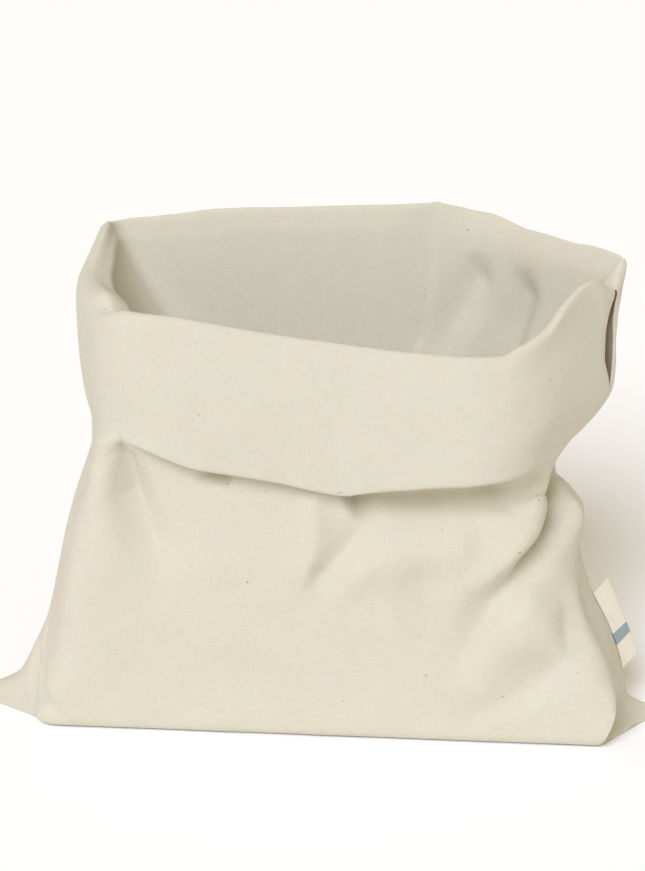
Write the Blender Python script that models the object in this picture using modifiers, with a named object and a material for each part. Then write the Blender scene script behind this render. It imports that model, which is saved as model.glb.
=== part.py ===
# Standing cotton drawstring bag: two cloth panels sewn along the sides and the bottom, and one side label.
#
# Axes: +X is the bag's width to its right side, -Y faces the front, +Z is up. The tables below are in
# millimetres and the built meshes in metres. A level of the bag is named by its cloth height, measured
# up the cloth from the bottom seam: over the floor, up the wall, over the rim and down the inner flap.

import math

import bmesh
import bpy
import numpy as np

MM = 0.001

# Middle of the bag's box in the tables' own axes, which becomes the origin
BOX_MIDDLE = np.array([-0.2, 1.4, 0.0])

# Driving sizes of the cloth
CLOTH_WIDTH = 394.0
SHEET_THICK = 1.2

# Space between the two panels along their seams: on the ridge of the ears, and on the walls
SEAM_GAP = (
    # cloth, gap
    (0, 0.8),
    (8, 1.0),
    (44, 1.0),
    (80, 0.4),
    (418, 0.4),
)

# Woven label, folded double and caught in the right side seam, with the cloth heights of its two ends
LABEL_WIDTH = 18.0
LABEL_THICK = 1.0
LABEL_LOW_END = 54.0
LABEL_HIGH_END = 104.0
LABEL_TURN = math.radians(52)
LABEL_CLEARANCE = 1.3
LABEL_CURL = 1.2
LABEL_CURL_SHIFT = 0.2

# Mesh density: columns from a seam to the corner of the wall, between the corners, and past the right corner
MESH_COLUMNS = (6, 15, 2)
ROW_BANDS = (
    # from, to, rows
    (0, 44, 6),
    (44, 52, 1),
    (52, 190, 8),
    (190, 208, 2),
    (208, 244, 7),
    (244, 312, 4),
    (312, 342, 6),
    (342, 418, 4),
)

# Side seams, left and right: the ears on the floor, the walls, the neck, the rim and the inner flap
SEAMS = (
    # cloth, left x, y, z, right x, y, z
    (0, -198.0, -7.0, 0.6, 197.0, 0.0, 0.6),
    (8, -193.5, -6.5, 4.0, 192.5, 0.0, 4.2),
    (20, -184.0, -6.0, 8.0, 184.5, 0.0, 7.5),
    (34, -174.0, -3.0, 13.5, 177.5, 0.0, 13.0),
    (44, -170.0, -1.0, 22.0, 176.0, 0.5, 22.0),
    (54, -166.5, 0.0, 31.0, 174.5, 1.0, 30.0),
    (80, -157.0, 0.0, 55.0, 165.5, 2.0, 56.0),
    (110, -150.5, 0.0, 82.0, 154.5, 2.0, 80.0),
    (140, -144.5, 0.0, 105.0, 149.0, 2.0, 104.0),
    (165, -139.0, 0.0, 124.0, 151.0, 2.0, 124.0),
    (185, -133.5, 0.0, 139.0, 144.0, 2.0, 139.0),
    (206, -128.5, 0.0, 153.0, 137.0, 2.0, 152.0),
    (218, -126.5, 0.0, 162.0, 140.0, 2.0, 161.0),
    (236, -128.0, 0.0, 174.0, 149.0, 2.0, 174.0),
    (250, -132.0, 0.0, 187.0, 158.0, 2.5, 187.0),
    (270, -134.5, 0.0, 205.0, 165.0, 3.0, 206.0),
    (298, -135.0, 0.0, 230.0, 167.5, 4.0, 236.0),
    (314, -134.0, 0.0, 244.0, 169.0, 4.5, 256.0),
    (322, -131.0, 0.0, 250.5, 169.0, 5.0, 264.5),
    (328, -124.5, 0.0, 253.0, 166.5, 5.0, 268.5),
    (334, -117.5, 0.0, 250.0, 162.5, 5.0, 266.0),
    (342, -113.0, 0.0, 242.0, 159.5, 5.0, 258.0),
    (372, -108.0, 0.0, 213.0, 153.0, 4.0, 228.0),
    (400, -104.0, 0.0, 187.0, 138.0, 3.0, 202.0),
    (418, -101.0, 0.0, 171.0, 130.0, 2.0, 186.0),
)

# Front wall between its two corners: y from the seam's own, then the height and the inset of each corner
FRONT = (
    # cloth, y, left z, right z, left inset, right inset
    (0, -0.4, 0.6, 0.6, 3.5, 3.5),
    (8, -8.0, 0.6, 0.6, 4.0, 2.5),
    (20, -20.0, 0.6, 0.6, 9.5, 2.5),
    (34, -33.5, 0.6, 0.6, 14.0, 6.0),
    (40, -40.5, 0.9, 0.9, 16.0, 8.0),
    (44, -44.5, 3.0, 3.0, 16.0, 9.0),
    (50, -48.0, 8.0, 8.0, 15.0, 11.0),
    (80, -54.0, 38.0, 38.0, 16.0, 20.0),
    (120, -60.0, 78.0, 78.0, 18.0, 26.0),
    (160, -63.0, 118.0, 118.0, 20.0, 28.0),
    (190, -63.0, 148.0, 146.0, 21.0, 24.0),
    (206, -62.5, 162.0, 157.0, 22.0, 20.0),
    (218, -63.0, 172.0, 165.0, 23.0, 21.0),
    (230, -65.5, 181.0, 173.0, 24.0, 26.0),
    (236, -67.0, 186.0, 178.0, 25.0, 29.0),
    (244, -69.0, 193.0, 186.0, 26.0, 36.0),
    (264, -72.5, 212.0, 205.0, 27.0, 44.0),
    (294, -74.0, 239.0, 231.0, 28.0, 48.0),
    (314, -72.5, 254.0, 246.0, 28.0, 50.0),
    (322, -70.5, 260.0, 251.0, 28.0, 50.0),
    (328, -66.5, 262.5, 253.0, 27.0, 50.0),
    (334, -62.0, 260.5, 251.0, 26.0, 50.0),
    (342, -59.5, 252.5, 243.0, 25.0, 50.0),
    (372, -55.0, 222.0, 213.0, 24.0, 50.0),
    (400, -48.0, 196.0, 187.0, 24.0, 46.0),
    (418, -43.0, 180.0, 171.0, 24.0, 44.0),
)

# Back wall, with the same columns
BACK = (
    # cloth, y, left z, right z, left inset, right inset
    (0, 0.4, 0.6, 0.6, 3.5, 3.5),
    (8, 8.0, 0.6, 0.6, 4.0, 4.0),
    (20, 20.0, 0.6, 0.6, 9.5, 8.0),
    (34, 34.0, 0.6, 0.6, 14.0, 12.0),
    (50, 50.0, 0.9, 0.9, 15.0, 14.0),
    (56, 55.5, 3.5, 3.5, 15.0, 14.0),
    (64, 59.5, 10.0, 10.0, 15.0, 14.0),
    (90, 65.0, 36.0, 36.0, 15.0, 18.0),
    (130, 70.0, 77.0, 77.0, 16.0, 24.0),
    (170, 71.0, 118.0, 118.0, 16.0, 30.0),
    (206, 68.0, 154.0, 152.0, 16.0, 34.0),
    (226, 67.0, 174.0, 172.0, 16.0, 40.0),
    (250, 71.0, 197.0, 196.0, 16.0, 58.0),
    (280, 76.0, 226.0, 227.0, 16.0, 72.0),
    (314, 78.0, 259.0, 264.0, 16.0, 76.0),
    (322, 77.0, 266.5, 272.0, 16.0, 77.0),
    (328, 73.0, 270.0, 276.0, 16.0, 76.0),
    (334, 68.5, 268.0, 274.0, 16.0, 74.0),
    (342, 66.0, 260.0, 266.0, 16.0, 72.0),
    (372, 62.0, 231.0, 236.0, 16.0, 68.0),
    (400, 56.0, 204.0, 208.0, 18.0, 60.0),
    (418, 52.0, 187.0, 190.0, 20.0, 54.0),
)

# Section of the fold that hangs over the front of the body, at its full strength
TUCK = (
    # cloth, out, lift
    (150, 0.0, 0.0),
    (190, -2.0, 3.0),
    (206, -3.0, 5.0),
    (214, -2.5, 3.0),
    (219, 0.5, -1.5),
    (225, 3.5, -11.0),
    (231, 6.0, -19.0),
    (236, 7.5, -24.0),
    (241, 8.5, -22.5),
    (248, 8.0, -21.0),
    (270, 5.0, -14.0),
    (300, 3.0, -5.0),
    (322, 2.0, 0.0),
    (418, 0.0, 0.0),
)

# How strong that fold is across the front, and how far the rim sags above it
SPAN = (
    # across, lift share, out share, rim sag
    (60, 0.0, 0.0, 0.0),
    (74, 0.04, 0.25, -1.5),
    (100, 0.4, 0.7, -5.0),
    (126, 0.78, 0.9, -8.5),
    (170, 0.9, 1.0, -13.0),
    (217, 1.04, 0.95, -16.0),
    (245, 0.78, 1.3, -16.5),
    (272, 0.6, 1.4, -13.0),
    (300, 0.4, 1.3, -3.0),
    (322, 0.22, 0.9, 0.0),
    (338, 0.0, 0.1, 0.0),
    (350, 0.0, 0.0, 0.0),
)
SAG_FROM = 236.0
SAG_FULL = 322.0

# Open stretch of the right side seam below the rim
SEAM_SLIT = (
    # cloth, width
    (258, 0.0),
    (265, 1.4),
    (272, 3.1),
    (279, 6.2),
    (287, 8.4),
    (295, 7.4),
    (306, 5.9),
    (314, 5.9),
    (322, 5.0),
    (330, 0.0),
)

# How far the right side seam sits in front of the bag's right corner
SEAM_FORWARD = (
    # cloth, distance
    (0, 2.0),
    (60, 3.0),
    (206, 5.0),
    (250, 12.0),
    (418, 12.0),
)

# Where that seam is open, the rim of the front panel hangs lower than the rim of the back panel
RIM_DROP = 8.0
RIM_DROP_ACROSS = (366.0, 392.0)
RIM_DROP_CLOTH = (300.0, 328.0)

# Folds of the front panel as strokes in the cloth: a ridge is positive, a trough negative
FRONT_FOLDS = (
    # name, across from, cloth from, across to, cloth to, half width, depth from, depth to
    ("left vertex ridge", 76, 238, 109, 155, 9, 3.5, 1.5),
    ("left vertex trough", 60, 224, 99, 158, 9, -4.0, -1.5),
    ("ridge against the fold", 215, 204, 203, 165, 8, 3.0, 1.5),
    ("notch in the middle", 228, 194, 229, 172, 6, -5.0, -4.0),
    ("trough of the middle", 229, 172, 198, 143, 7, -4.0, -2.0),
    ("hollow under the fold", 242, 202, 325, 206, 15, -8.0, -9.0),
    ("foot of the hollow", 262, 182, 300, 178, 18, -4.0, -4.0),
    ("long soft ridge", 222, 158, 318, 192, 11, 3.0, 3.5),
    ("strip from the band", 366, 222, 338, 176, 9, 4.0, 3.0),
    ("deep trough high", 378, 204, 348, 178, 8, -6.0, -7.0),
    ("deep trough low", 348, 178, 276, 101, 9, -7.0, -2.5),
    ("side bulge", 374, 166, 358, 146, 13, 5.0, 4.0),
    ("second trough", 343, 116, 280, 65, 12, -4.0, -2.0),
    ("second ridge", 324, 124, 262, 78, 12, 2.0, 1.5),
    ("upright ridge", 352, 112, 352, 84, 9, 2.5, 2.0),
    ("left foot trough", 36, 82, 42, 56, 7, -2.5, -3.0),
    ("rim pleat", 62, 318, 50, 345, 8, -4.0, -4.0),
)

# Folds of the back panel
BACK_FOLDS = (
    # name, across from, cloth from, across to, cloth to, half width, depth from, depth to
    ("neck trough", 60, 212, 300, 212, 14, -4.0, -5.0),
    ("right bulge", 330, 160, 300, 120, 20, 4.0, 3.0),
    ("cross trough", 320, 200, 220, 110, 12, -5.0, -2.0),
    ("left trough", 80, 200, 140, 120, 12, -4.0, -1.5),
    ("press crease", 262, 300, 258, 420, 5, 1.5, 1.5),
)

# Distance over which folds die out towards the seams and the floor
SEAM_CALM = 22.0
FLOOR_CALM = (44.0, 66.0)

# Corner rounding of a level: on the floor, and added to it on the wall
SEAM_ROUND = (0.7, 30.8)
WALL_ROUND = (1.0, 34.0)
RIGHT_ROUND = (0.5, 5.0)
ROUND_FULL = 60.0
ARC_STEPS = 15

# Columns and rows of the label's mesh
LABEL_GRID = (4, 8)

MATERIALS = {
    # name: base colour, roughness
    "natural_cotton": ((0.78, 0.71, 0.56), 0.95),
    "woven_tape": ((0.84, 0.80, 0.70), 0.85),
}


def smooth_step(low, high, value):
    """Share from 0 to 1 that rises smoothly between two values."""
    t = np.clip((np.asarray(value, float) - low) / (high - low), 0.0, 1.0)
    return t * t * (3 - 2 * t)


def table_curve(table, column, where):
    """Smooth curve through one column of a table, read at any places, that never overshoots its rows."""
    x = np.array([row[0] for row in table], float)
    y = np.array([row[column] for row in table], float)
    step = np.diff(x)
    rise = np.diff(y) / step
    slope = np.zeros_like(y)
    slope[0] = rise[0]
    slope[-1] = rise[-1]
    for i in range(1, len(x) - 1):
        if rise[i - 1] * rise[i] > 0:
            near = 2 * step[i] + step[i - 1]
            far = step[i] + 2 * step[i - 1]
            slope[i] = (near + far) / (near / rise[i - 1] + far / rise[i])
    where = np.clip(np.asarray(where, float), x[0], x[-1])
    i = np.clip(np.searchsorted(x, where, side="right") - 1, 0, len(rise) - 1)
    t = (where - x[i]) / step[i]
    start = (1 + 2 * t) * (1 - t) ** 2 * y[i] + t * (1 - t) ** 2 * step[i] * slope[i]
    end = t * t * (3 - 2 * t) * y[i + 1] + t * t * (t - 1) * step[i] * slope[i + 1]
    return start + end


def rounded_corner(before, corner, after, radius):
    """Soft arc that leaves one side of a polygon and joins the next."""
    reach_in = min(radius, 0.49 * np.linalg.norm(before - corner))
    reach_out = min(radius, 0.49 * np.linalg.norm(after - corner))
    start = corner + (before - corner) / np.linalg.norm(before - corner) * reach_in
    end = corner + (after - corner) / np.linalg.norm(after - corner) * reach_out
    t = np.linspace(0.0, 1.0, ARC_STEPS)[:, None]
    return (1 - t) ** 2 * start + 2 * t * (1 - t) * corner + t * t * end


def level_halves(cloth):
    """Outline of the bag at a cloth height: left end, wall and right end of its front and of its back."""
    left_x, left_y, left_z, right_x, right_y, right_z = (table_curve(SEAMS, k, cloth) for k in range(1, 7))
    corners = [np.array([left_x, left_y, left_z])]
    for table, order in ((FRONT, 1), (BACK, -1)):
        y, z_left, z_right, in_left, in_right = (table_curve(table, k, cloth) for k in range(1, 6))
        pair = [np.array([left_x + in_left, left_y + y, z_left]),
                np.array([right_x - in_right, right_y + y, z_right])]
        corners += pair[::order]
        if table is FRONT:
            corners.append(np.array([right_x, right_y, right_z]))
    share = min(1.0, cloth / ROUND_FULL)
    radii = [low + added * share for low, added in
             (SEAM_ROUND, WALL_ROUND, WALL_ROUND, RIGHT_ROUND, WALL_ROUND, WALL_ROUND)]
    arcs = []
    for i, corner in enumerate(corners):
        arcs.append(rounded_corner(corners[i - 1], corner, corners[(i + 1) % len(corners)], radii[i]))
    middle = ARC_STEPS // 2
    cut = [(arc[:middle + 1], arc[middle:]) for arc in arcs]
    stretches = [np.vstack([leave[1], enter[0]]) for leave, enter in zip(cut, cut[1:] + cut[:1])]
    half = len(stretches) // 2
    return stretches[:half], [stretch[::-1] for stretch in stretches[:half - 1:-1]]


def path_length(path):
    """Length along a path up to each of its points."""
    return np.r_[0.0, np.cumsum(np.linalg.norm(np.diff(path, axis=0), axis=1))]


def level_points(side, cloth, columns):
    """Points of one panel at a cloth height, from the left seam to the right one, and their place across."""
    front, back = level_halves(cloth)
    end, wall, lap = columns
    forward = float(table_curve(SEAM_FORWARD, 1, cloth))
    stretches = [path_length(part)[-1] for part in (front if side == "front" else back)]
    start = float(table_curve(SEAM_GAP, 1, cloth)) / 2
    trim = start + float(table_curve(SEAM_SLIT, 1, cloth)) / 2
    knots = np.r_[start, np.cumsum(stretches)]
    counts = [end, wall, end]
    if side == "front":
        path = np.vstack(front)
        knots[-1] -= forward + trim
    else:
        path = np.vstack(back + [front[2][::-1]])
        knots = np.r_[knots, knots[-1] + forward - trim]
        counts.append(lap)
    places = np.concatenate([np.linspace(low, high, count, endpoint=False)
                             for low, high, count in zip(knots[:-1], knots[1:], counts)] + [knots[-1:]])
    length = path_length(path)
    points = np.stack([np.interp(places, length, path[:, axis]) for axis in range(3)], axis=1)
    return points, CLOTH_WIDTH * (places - places[0]) / (places[-1] - places[0])


def stroke_height(across, cloth, fold):
    """Height of one fold over the cloth: a soft ridge or trough along a straight stroke."""
    name, across_from, cloth_from, across_to, cloth_to, half_width, depth_from, depth_to = fold
    run = np.array([across_to - across_from, cloth_to - cloth_from], float)
    share = ((across - across_from) * run[0] + (cloth - cloth_from) * run[1]) / run.dot(run)
    share = np.clip(share, 0.0, 1.0)
    away = np.hypot(across - across_from - share * run[0], cloth - cloth_from - share * run[1])
    return (depth_from + (depth_to - depth_from) * share) * np.exp(-(away / half_width) ** 2)


def panel_surface(side, columns, heights):
    """Middle surface of one panel, a row for each cloth height."""
    levels = [level_points(side, cloth, columns) for cloth in heights]
    points = np.array([level[0] for level in levels])
    across = np.array([level[1] for level in levels])
    cloth = np.broadcast_to(np.asarray(heights, float)[:, None], across.shape)
    if side == "front":
        sag = table_curve(SPAN, 3, across) * smooth_step(SAG_FROM, SAG_FULL, cloth)
        points[..., 2] += table_curve(TUCK, 2, cloth) * table_curve(SPAN, 1, across) + sag
        points[..., 1] -= table_curve(TUCK, 1, cloth) * table_curve(SPAN, 2, across)
        drop = smooth_step(*RIM_DROP_ACROSS, across) * smooth_step(*RIM_DROP_CLOTH, cloth)
        points[..., 2] -= RIM_DROP * drop
    turn = 1 if side == "front" else -1
    normal = turn * np.cross(np.gradient(points, axis=1), np.gradient(points, axis=0))
    normal /= np.linalg.norm(normal, axis=2, keepdims=True)
    height = np.zeros_like(across)
    for fold in (FRONT_FOLDS if side == "front" else BACK_FOLDS):
        height = height + stroke_height(across, cloth, fold)
    calm = smooth_step(0.0, SEAM_CALM, across) * smooth_step(0.0, SEAM_CALM, CLOTH_WIDTH - across)
    calm = calm * smooth_step(*FLOOR_CALM, cloth)
    return points + normal * (height * calm)[..., None]


def mesh_heights():
    """Cloth heights of the mesh rows, closer together where the cloth folds over."""
    heights = [float(ROW_BANDS[0][0])]
    for low, high, rows in ROW_BANDS:
        heights += [low + (high - low) * k / rows for k in range(1, rows + 1)]
    return np.array(heights)


def plain_material(name):
    """Matte cloth material."""
    colour, roughness = MATERIALS[name]
    material = bpy.data.materials.new(name)
    material.use_nodes = True
    shader = material.node_tree.nodes["Principled BSDF"]
    shader.inputs["Base Color"].default_value = (*colour, 1.0)
    shader.inputs["Roughness"].default_value = roughness
    shader.inputs["Metallic"].default_value = 0.0
    return material


def sheet_object(name, points, thickness, material, collection):
    """Sheet of even thickness on a surface given as rows and columns of points in millimetres."""
    rows, columns = points.shape[:2]
    sheet = bmesh.new()
    bmesh.ops.create_grid(sheet, x_segments=columns - 1, y_segments=rows - 1, size=1.0)
    for vertex in sheet.verts:
        column = round((vertex.co.x + 1) / 2 * (columns - 1))
        row = round((vertex.co.y + 1) / 2 * (rows - 1))
        vertex.co = (points[row, column] - BOX_MIDDLE) * MM
    mesh = bpy.data.meshes.new(name)
    sheet.to_mesh(mesh)
    sheet.free()
    mesh.shade_smooth()
    mesh.materials.append(plain_material(material))
    item = bpy.data.objects.new(name, mesh)
    collection.objects.link(item)
    shell = item.modifiers.new("cloth thickness", "SOLIDIFY")
    shell.thickness = thickness * MM
    shell.offset = 0.0
    return item


def label_surface():
    """Middle surface of the label: its rows follow the seam upwards and its columns lead away from it."""
    columns, rows = LABEL_GRID
    shares = np.linspace(0.0, 1.0, rows + 1)
    heights = LABEL_LOW_END + (LABEL_HIGH_END - LABEL_LOW_END) * shares
    seam = np.array([level_points("back", cloth, MESH_COLUMNS)[0][-1] for cloth in heights])
    along = (seam[-1] - seam[0]) / np.linalg.norm(seam[-1] - seam[0])
    outward = np.cross((0.0, 1.0, 0.0), along)
    outward /= np.linalg.norm(outward)
    backward = np.cross(along, outward)
    reach = outward * math.cos(LABEL_TURN) + backward * math.sin(LABEL_TURN)
    bow = np.cross(reach, along)
    points = np.empty((rows + 1, columns + 1, 3))
    for column in range(columns + 1):
        share = column / columns
        curl = LABEL_CURL * share * share * np.sin(math.pi * (shares + LABEL_CURL_SHIFT))
        points[:, column] = (seam + outward * LABEL_CLEARANCE + reach * share * LABEL_WIDTH
                             + bow * curl[:, None])
    return points


def main():
    for item in list(bpy.data.objects):
        bpy.data.objects.remove(item, do_unlink=True)
    bag = bpy.data.collections.new("drawstring_bag")
    bpy.context.scene.collection.children.link(bag)

    heights = mesh_heights()
    front = panel_surface("front", MESH_COLUMNS, heights)
    back = panel_surface("back", MESH_COLUMNS, heights)
    sheet_object("front_panel", front, SHEET_THICK, "natural_cotton", bag)
    sheet_object("back_panel", back, SHEET_THICK, "natural_cotton", bag)
    sheet_object("label", label_surface(), LABEL_THICK, "woven_tape", bag)


main()
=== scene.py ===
# Cotton drawstring bag that stands open, its top turned inwards over a soft hanging fold, with a label
# in its right side seam.
#
# The cloth is built level by level. A level is named by its cloth height, in millimetres up the cloth
# from the bottom seam, and a place on it by its distance across from the left seam. The same two numbers
# are the cloth's UV map, in metres, so that the weave follows the cloth over every fold.

import math

import bpy
import numpy as np
from bpy.props import FloatProperty, IntProperty, PointerProperty, StringProperty
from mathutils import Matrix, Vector


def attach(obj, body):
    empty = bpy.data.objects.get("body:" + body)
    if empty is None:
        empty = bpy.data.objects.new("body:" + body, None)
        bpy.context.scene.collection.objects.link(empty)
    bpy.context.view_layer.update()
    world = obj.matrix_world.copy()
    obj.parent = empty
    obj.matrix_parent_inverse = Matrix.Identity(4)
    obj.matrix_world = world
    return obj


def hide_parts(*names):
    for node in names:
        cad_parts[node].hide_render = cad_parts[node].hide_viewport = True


bl_info = {
    "name": "Cotton Drawstring Bag",
    "version": (1, 0, 0),
    "blender": (4, 5, 0),
    "location": "View3D > Sidebar > Bag",
    "description": "Cloth, label and studio for an open cotton drawstring bag",
    "category": "Add Mesh",
}

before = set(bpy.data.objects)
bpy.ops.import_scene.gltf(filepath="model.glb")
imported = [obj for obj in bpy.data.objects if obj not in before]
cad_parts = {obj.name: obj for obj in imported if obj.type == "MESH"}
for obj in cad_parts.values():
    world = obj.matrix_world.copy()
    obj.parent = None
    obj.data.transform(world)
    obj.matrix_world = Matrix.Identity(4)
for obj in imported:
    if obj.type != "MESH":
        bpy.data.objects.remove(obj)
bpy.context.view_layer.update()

MM = 0.001

# Middle of the bag's box in the tables' own axes, which is the frame's origin
BOX_MIDDLE = np.array([-0.2, 1.4, 0.0])

# The cloth's levels, in millimetres

# Side seams, left and right: the ears on the floor, the walls, the neck, the rim and the inner flap
SEAMS = (
    # cloth, left x, y, z, right x, y, z
    (0, -198.0, -7.0, 0.6, 197.0, 0.0, 0.6),
    (8, -193.5, -6.5, 4.0, 192.5, 0.0, 4.2),
    (20, -184.0, -6.0, 8.0, 184.5, 0.0, 7.5),
    (34, -174.0, -3.0, 13.5, 177.5, 0.0, 13.0),
    (44, -170.0, -1.0, 22.0, 176.0, 0.5, 22.0),
    (54, -166.5, 0.0, 31.0, 174.5, 1.0, 30.0),
    (80, -157.0, 0.0, 55.0, 165.5, 2.0, 56.0),
    (110, -150.5, 0.0, 82.0, 154.5, 2.0, 80.0),
    (140, -144.5, 0.0, 105.0, 149.0, 2.0, 104.0),
    (165, -139.0, 0.0, 124.0, 151.0, 2.0, 124.0),
    (185, -133.5, 0.0, 139.0, 141.6, 2.0, 139.0),
    (196, -130.6, 0.0, 146.5, 134.8, 2.0, 145.5),
    (206, -128.5, 0.0, 153.0, 134.2, 2.0, 152.0),
    (218, -126.5, 0.0, 162.0, 137.6, 2.0, 160.5),
    (236, -128.0, 0.0, 174.0, 149.6, 2.0, 174.0),
    (250, -132.0, 0.0, 187.0, 160.0, 2.5, 187.0),
    (262, -133.7, 0.0, 198.0, 165.2, 3.0, 198.5),
    (274, -134.7, 0.0, 209.0, 165.8, 3.0, 210.5),
    (298, -135.0, 0.0, 230.0, 165.5, 4.0, 236.0),
    (314, -134.0, 0.0, 244.0, 167.6, 4.5, 256.0),
    (322, -131.0, 0.0, 250.5, 169.0, 5.0, 264.5),
    (325, -127.6, 0.0, 252.4, 168.4, 5.0, 267.2),
    (328, -124.3, 0.0, 253.0, 166.8, 5.0, 267.8),
    (331, -121.0, 0.0, 252.0, 164.6, 5.0, 265.4),
    (336, -116.4, 0.0, 250.2, 161.2, 5.0, 260.6),
    (339, -113.8, 0.0, 249.0, 159.4, 5.0, 257.8),
    (341, -112.9, 0.0, 247.2, 158.4, 5.0, 255.8),
    (345, -112.3, 0.0, 243.2, 157.2, 5.0, 251.8),
    (372, -108.0, 0.0, 213.0, 151.0, 4.0, 226.0),
    (400, -104.0, 0.0, 187.0, 138.0, 3.0, 202.0),
    (418, -101.0, 0.0, 171.0, 130.0, 2.0, 186.0),
)

# Front wall between its two corners: y from the seam's own, then the height and the inset of each corner
FRONT = (
    # cloth, y, left z, right z, left inset, right inset
    (0, -0.4, 0.6, 0.6, 3.5, 3.5),
    (8, -8.0, 0.6, 0.6, 4.0, 2.5),
    (20, -20.0, 0.6, 0.6, 9.5, 2.5),
    (34, -33.5, 0.6, 0.6, 14.0, 6.0),
    (40, -40.0, 0.6, 0.6, 16.0, 10.0),
    (45, -45.0, 1.0, 1.0, 16.0, 12.0),
    (48, -47.6, 2.8, 2.8, 15.5, 11.5),
    (51, -49.4, 5.8, 5.8, 15.0, 9.5),
    (56, -50.8, 12.0, 12.0, 15.0, 6.2),
    (66, -52.3, 23.0, 23.0, 15.5, 0.0),
    (76, -53.8, 34.0, 34.0, 16.0, -3.5),
    (100, -57.4, 58.0, 58.0, 17.0, 1.0),
    (120, -60.0, 78.0, 78.0, 15.0, 10.0),
    (160, -63.0, 118.0, 118.0, 13.0, 26.0),
    (190, -63.0, 148.0, 146.0, 12.0, 24.0),
    (206, -62.5, 162.0, 157.0, 12.0, 20.0),
    (218, -63.0, 172.0, 165.0, 13.0, 21.0),
    (230, -65.5, 181.0, 173.0, 16.0, 26.0),
    (236, -67.0, 186.0, 178.0, 19.0, 29.0),
    (244, -69.0, 193.0, 186.0, 23.0, 36.0),
    (264, -72.5, 212.0, 205.0, 27.0, 44.0),
    (294, -74.0, 239.0, 231.0, 28.0, 48.0),
    (314, -73.0, 254.0, 246.0, 28.0, 50.0),
    (322, -71.9, 261.4, 252.2, 28.0, 50.0),
    (325, -70.8, 263.8, 254.5, 27.5, 50.0),
    (327, -69.4, 264.4, 255.0, 27.0, 50.0),
    (330, -67.6, 262.6, 253.2, 26.5, 50.0),
    (336, -65.0, 257.2, 247.8, 25.5, 50.0),
    (342, -62.6, 251.6, 242.2, 25.0, 50.0),
    (372, -55.0, 222.0, 213.0, 24.0, 50.0),
    (400, -48.0, 196.0, 187.0, 24.0, 46.0),
    (418, -43.0, 180.0, 171.0, 24.0, 44.0),
)

# Back wall, with the same columns
BACK = (
    # cloth, y, left z, right z, left inset, right inset
    (0, 0.4, 0.6, 0.6, 3.5, 3.5),
    (8, 8.0, 0.6, 0.6, 4.0, 4.0),
    (20, 20.0, 0.6, 0.6, 9.5, 8.0),
    (34, 34.0, 0.6, 0.6, 14.0, 12.0),
    (50, 50.0, 0.9, 0.9, 15.0, 14.0),
    (56, 55.5, 3.5, 3.5, 15.0, 14.0),
    (64, 59.5, 10.0, 10.0, 15.0, 14.0),
    (90, 65.0, 36.0, 36.0, 15.0, 18.0),
    (130, 70.0, 77.0, 77.0, 16.0, 24.0),
    (170, 71.0, 118.0, 118.0, 16.0, 30.0),
    (206, 68.0, 154.0, 152.0, 16.0, 34.0),
    (226, 67.0, 174.0, 172.0, 16.0, 40.0),
    (250, 71.0, 197.0, 196.0, 16.0, 58.0),
    (280, 76.0, 226.0, 227.0, 11.0, 72.0),
    (314, 78.0, 259.0, 264.0, 6.0, 76.0),
    (322, 77.6, 267.6, 273.2, 5.0, 77.0),
    (325, 76.8, 270.2, 276.0, 4.0, 77.0),
    (327, 75.6, 271.0, 276.8, 3.0, 76.0),
    (330, 73.8, 269.6, 275.4, 0.0, 75.0),
    (336, 71.2, 264.2, 270.2, -4.0, 74.0),
    (342, 68.8, 258.6, 264.6, -5.0, 72.0),
    (372, 62.0, 231.0, 236.0, 6.0, 68.0),
    (400, 56.0, 204.0, 208.0, 18.0, 60.0),
    (418, 52.0, 187.0, 190.0, 20.0, 54.0),
)

# Section of the fold that hangs over the front of the body, at its full strength
TUCK = (
    # cloth from the fold's lowest line, out, lift
    (-88, 0.0, 0.0),
    (-48, 0.5, 2.5),
    (-32, 1.5, 5.0),
    (-24, 2.2, 4.0),
    (-19, 3.2, -0.5),
    (-13, 5.0, -10.0),
    (-7, 6.9, -18.0),
    (-4, 8.2, -21.9),
    (-1, 9.3, -24.9),
    (1, 9.4, -24.8),
    (3, 9.0, -23.9),
    (6, 8.4, -23.0),
    (10, 7.8, -22.0),
    (32, 5.0, -14.0),
    (62, 3.0, -5.0),
    (84, 2.0, 0.0),
    (180, 0.0, 0.0),
)

# The fold across the front: its lowest line, how strong it is, and how far its section is spread
SPAN = (
    # across, cloth, lift share, out share, spread
    (66, 234.0, 0.0, 0.0, 0.10),
    (79, 237.6, 0.0, 0.0, 0.10),
    (82, 237.8, 0.05, 0.08, 0.16),
    (91, 238.5, 0.18, 0.28, 0.34),
    (104, 239.0, 0.34, 0.52, 0.58),
    (126, 239.2, 0.55, 0.76, 0.86),
    (132, 239.0, 0.57, 0.78, 0.92),
    (170, 238.0, 0.68, 0.80, 1.00),
    (205, 238.0, 0.88, 0.84, 1.00),
    (216, 238.0, 0.92, 0.84, 1.00),
    (245, 237.5, 0.70, 1.05, 1.00),
    (272, 237.0, 0.52, 1.15, 1.00),
    (300, 236.0, 0.38, 1.10, 0.85),
    (322, 234.5, 0.26, 0.85, 0.60),
    (334, 233.0, 0.17, 0.55, 0.40),
    (344, 229.0, 0.0, 0.0, 0.14),
    (360, 228.0, 0.0, 0.0, 0.10),
)

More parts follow.
